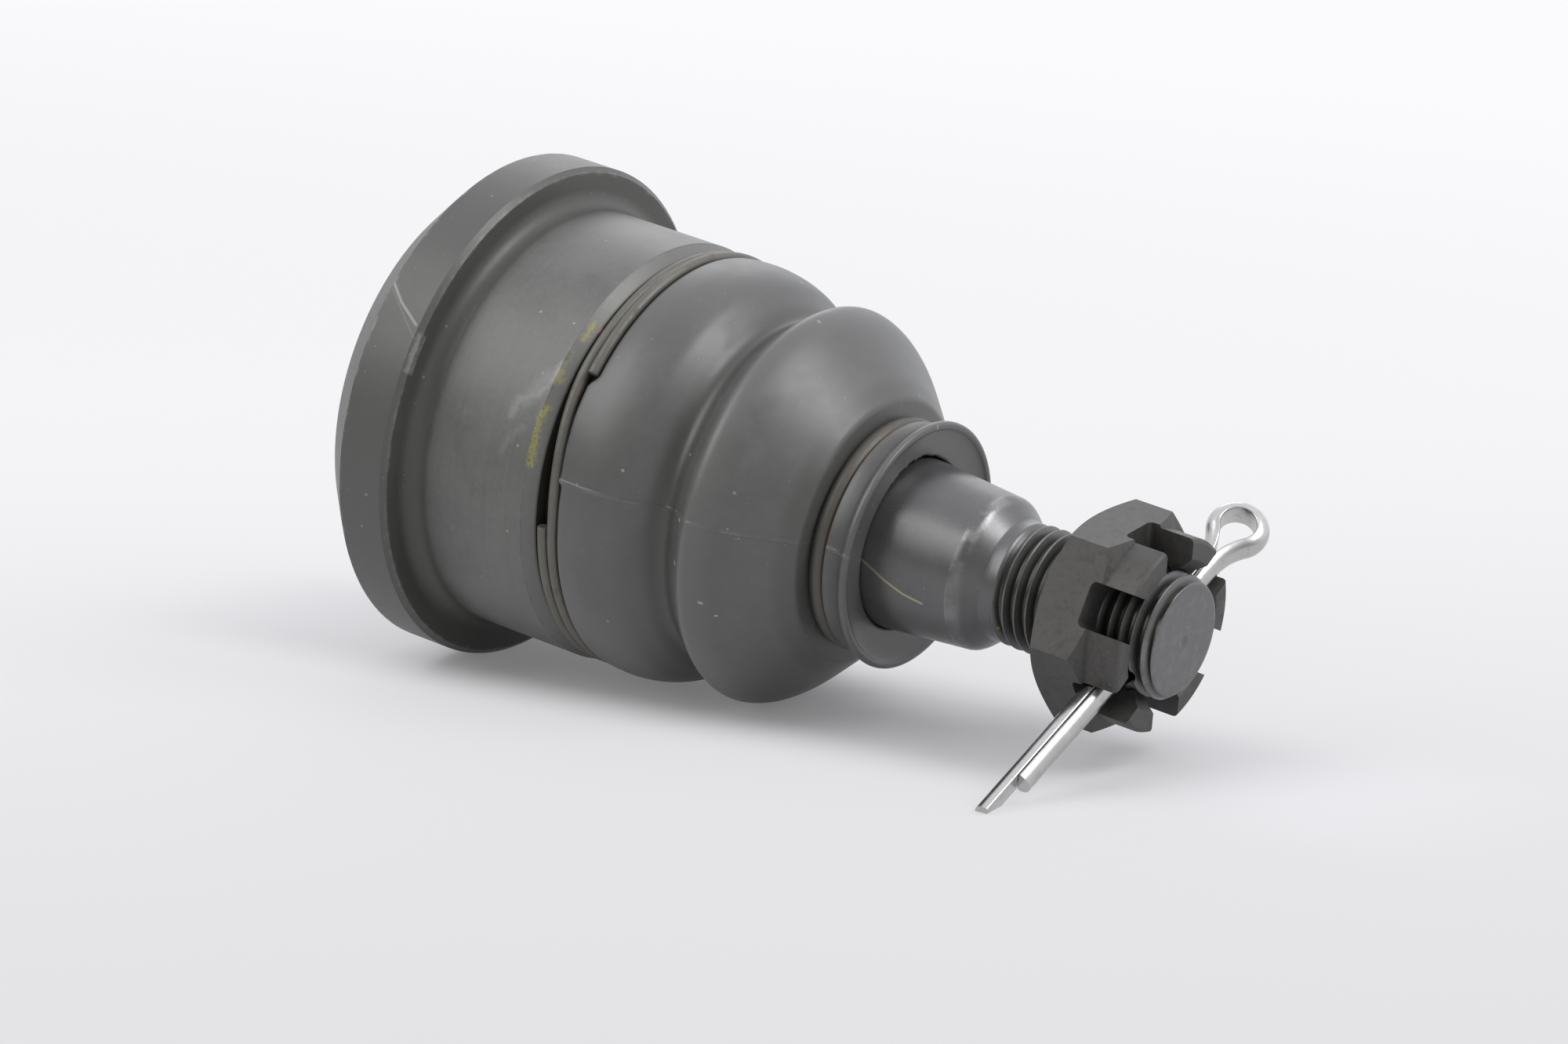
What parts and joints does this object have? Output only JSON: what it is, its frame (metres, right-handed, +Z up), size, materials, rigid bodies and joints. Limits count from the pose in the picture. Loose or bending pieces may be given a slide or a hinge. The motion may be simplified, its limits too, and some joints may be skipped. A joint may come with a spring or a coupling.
{
  "type": "suspension ball joint",
  "caption": "Press-in suspension ball joint: flanged round body, ball stud in a bellows boot held by spring rings, castle nut and cotter pin.",
  "frame": {"origin": "centre of the ball, on the stud's axis, inside the press-fit body", "axes": "+Y along the stud's axis, from the socket to the threaded end; +Z up as the part lies on its side; +X to the side seen most"},
  "size_m": [0.058, 0.0992, 0.058],
  "materials": {
    "phosphated_steel": "forged and machined steel, dark grey phosphate coat, matt and lightly oiled",
    "stud_steel": "ground steel under a thin dark phosphate coat, worn bright on the shoulder edge and thread crests",
    "nut_steel": "brown-black phosphate, matt",
    "spring_steel": "oiled spring steel",
    "ring_wire": "drawn spring wire, dull grey with a little rust between the turns",
    "zinc_plate": "bright zinc plate",
    "boot_rubber": "moulded black rubber, satin, with a fine parting line and dust",
    "bearing_polymer": "natural acetal"
  },
  "bodies": {
    "socket": {"housing": "phosphated_steel", "cover_plate": "phosphated_steel", "disc_spring": "spring_steel", "upper_race": "bearing_polymer", "boot": "boot_rubber", "boot_large_ring": "ring_wire"},
    "bearing": {"pressure_cup": "bearing_polymer"},
    "neck": {"boot_small_ring": "ring_wire"},
    "stud": {"ball_stud": "stud_steel"},
    "nut": {"castle_nut": "nut_steel"},
    "pin": {"cotter_pin": "zinc_plate"}
  },
  "joints": [
    {"name": "swing_direction", "type": "hinge", "parent": "socket", "child": "bearing", "pos_m": [0, 0, 0], "axis": [0, 1, 0], "continuous": true, "deforming": ["boot"]},
    {"name": "stud_swing", "type": "hinge", "parent": "bearing", "child": "neck", "pos_m": [0, 0, 0], "axis": [0, 0, 1], "range_deg": [-20, 20], "deforming": ["boot"]},
    {"name": "stud_spin", "type": "hinge", "parent": "neck", "child": "stud", "pos_m": [0, 0, 0], "axis": [0, 1, 0], "continuous": true},
    {"name": "nut_turn", "type": "hinge", "parent": "stud", "child": "nut", "pos_m": [0, 0.0737, 0], "axis": [0, 1, 0], "range_deg": [-9.2, 0.2]},
    {"name": "cotter_pin_pull", "type": "slide", "parent": "stud", "child": "pin", "axis": [-0.8449, 0.0558, 0.532], "range_m": [0, 0.045]}
  ]
}
